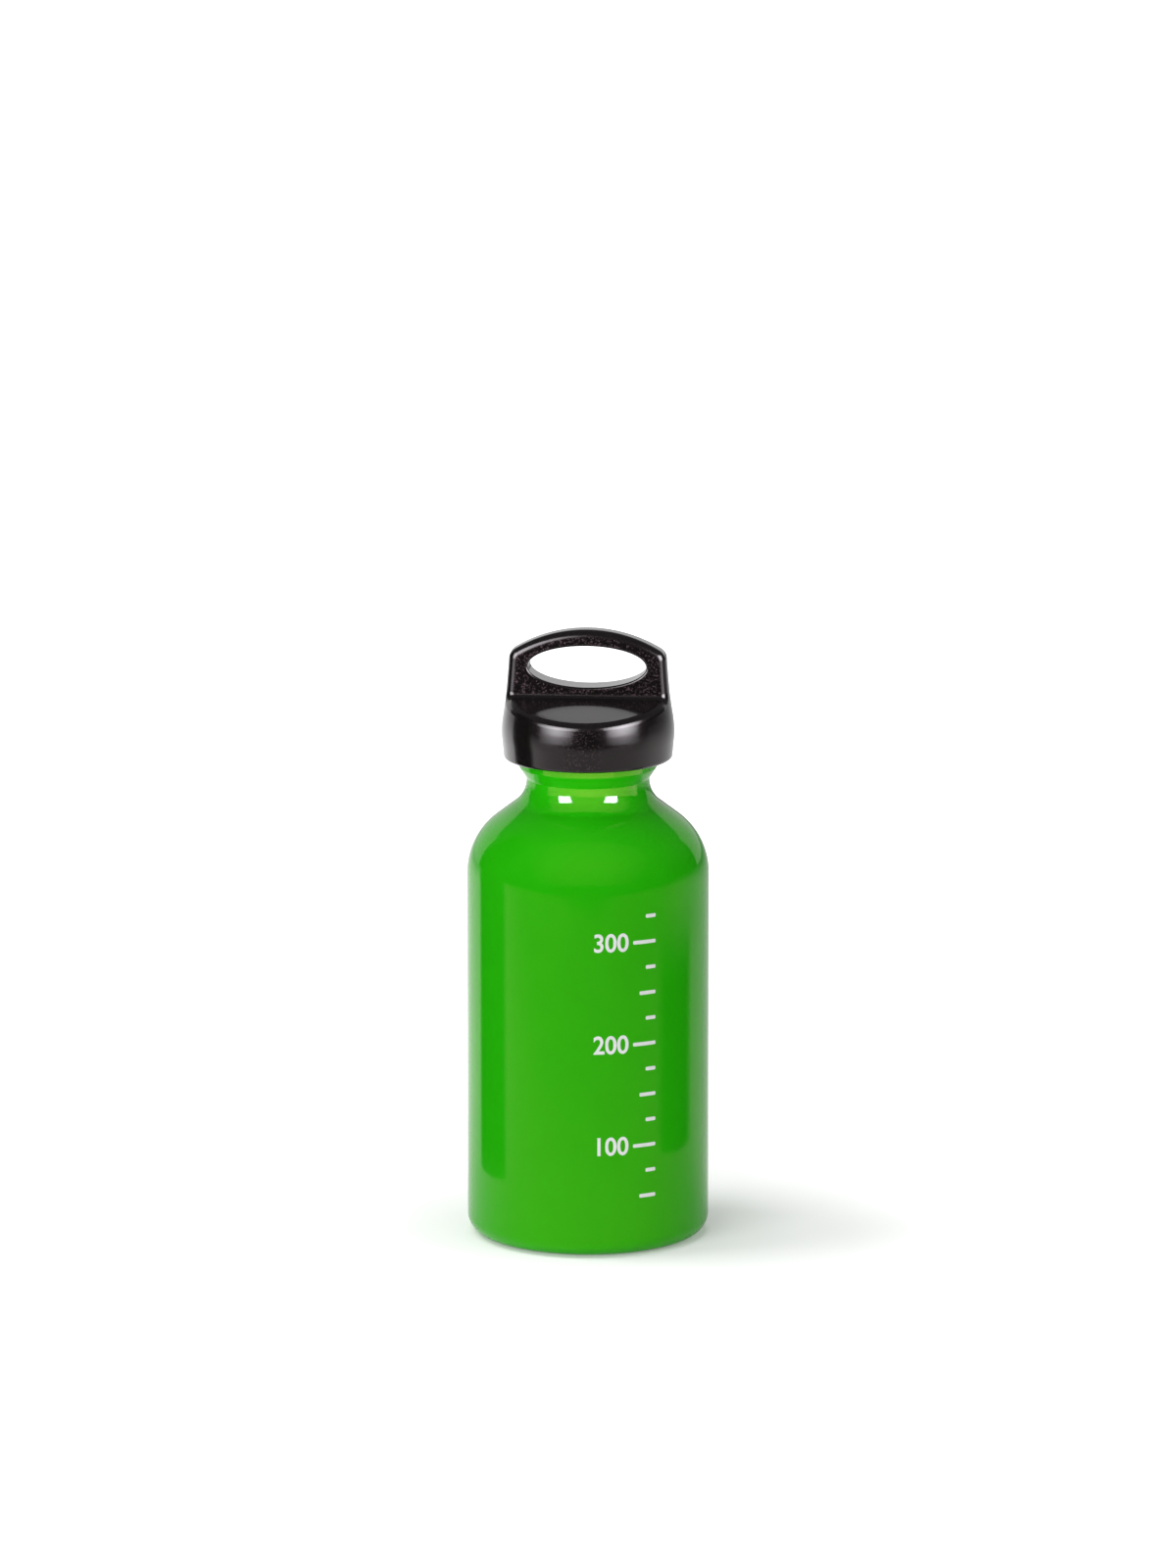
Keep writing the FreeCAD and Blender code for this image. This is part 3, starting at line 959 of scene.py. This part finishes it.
# Softboxes that only mirror in the pieces named; a narrow spread gives them soft edges
softboxAim = 0.14
softboxes = {
    "neckSpot": {"pieces": [bottleNeck], "powers": {-44: 66, 44: 66}, "elevation": 22, "distance": 0.9,
                 "size": (0.36, 0.36), "spread": 180, "colour": (0.19, 0.27, 1.0)},
    "neckGlow": {"pieces": [bottleNeck], "powers": {0: 9}, "elevation": 30, "distance": 0.3,
                 "size": (2.6, 1.1), "spread": 145, "colour": (1.0, 1.0, 1.0)},
    "neckBand": {"pieces": [bottleNeck], "powers": {-50: 0.3, 10: 0.38, 70: 0.32}, "elevation": -4,
                 "distance": 0.3, "size": (0.346, 0.15), "spread": 180, "colour": (1.0, 1.0, 1.0)},
    "bodyGlow": {"pieces": [bottleBody], "powers": {0: 0.55}, "elevation": 40, "distance": 0.4,
                 "size": (1.4, 0.62), "spread": 110, "colour": (1.0, 1.0, 1.0)},
    "mouthGlow": {"pieces": [bottleMouth, neckThread], "powers": {0: 6}, "elevation": 80, "distance": 0.4,
                  "size": (1.2, 1.2), "spread": 180, "colour": (1.0, 1.0, 1.0)},
    "capRim": {"pieces": [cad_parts["overcap"]], "powers": {-43: 2.5, 48: 3.4}, "elevation": 22,
               "distance": 0.9, "size": (0.9, 0.7), "spread": 62, "colour": (0.9, 0.97, 1.0)},
    "capSkirt": {"pieces": [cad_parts["overcap"]], "powers": {-44: 0.3, 48: 0.25}, "elevation": 2,
                 "distance": 0.9, "size": (0.8, 0.5), "spread": 56, "colour": (0.9, 0.97, 1.0)},
}


def makeSoftbox(name, size):
    for azimuth, power in size["powers"].items():
        spot = studioSpot(azimuth, size["elevation"], size["distance"], softboxAim)
        softbox = makeLamp(name, power, size["size"], spot, softboxAim)
        softbox.data.spread = math.radians(size["spread"])
        softbox.data.color = size["colour"]
        softbox.visible_diffuse = False
        shineOnly(softbox, *size["pieces"])


# Dark cards beside the bottle, seen only as soft stripes in its gloss
cardColour = (0.02, 0.02, 0.02, 1)
halfCard = 0.5  # in the card's own measure
cardSizes = {
    "leftCard": {"azimuth": -90.5, "distance": 0.1, "width": 0.073, "height": 0.28, "foot": -0.036,
                 "softness": 0.14},
    "rightCard": {"azimuth": 83, "distance": 0.133, "width": 0.115, "height": 0.1, "foot": -0.022,
                  "softness": 0.2},
}


def makeCard(name, size):
    finish = newFinish(name)
    across, along = finish.parts(finish.coordinates())[:2]
    dark = finish.fade(halfCard ** 2 - across * across, 0, size["softness"])
    dark = dark * finish.fade(halfCard ** 2 - along * along, 0, size["softness"])
    matt = finish.add("ShaderNodeBsdfDiffuse", {}, {"Color": cardColour})
    clear = finish.add("ShaderNodeBsdfTransparent", {}, {})
    surface = finish.add("ShaderNodeMixShader", {}, {0: dark, 1: clear, 2: matt})
    finish.add("ShaderNodeOutputMaterial", {}, {"Surface": surface})
    deselectAll()
    bpy.ops.mesh.primitive_plane_add(size=2 * halfCard)
    card = bpy.context.object
    card.name = name
    card.scale = (size["width"], size["height"], 1)
    middle = size["foot"] + size["height"] / 2
    card.location = studioSpot(size["azimuth"], 0, size["distance"], middle)
    aimAt(card, middle)
    dress(card, finish.holder)
    card.visible_camera = card.visible_diffuse = card.visible_shadow = False


floor = makeFloor(studioSetup)
makeWorld(studioSetup)
lampSubjects = {"neckLamp": bottleNeck, "shoulderLamp": bottleBody, "floorLamp": floor}
for name, size in lampSizes.items():
    lamp = makeStudioLamp(name, size)
    if name in lampSubjects:
        shineOnly(lamp, lampSubjects[name])
for name, size in softboxes.items():
    makeSoftbox(name, size)
for name, size in cardSizes.items():
    makeCard(name, size)
bpy.context.scene.view_settings.view_transform = "Standard"
print("studio lit")
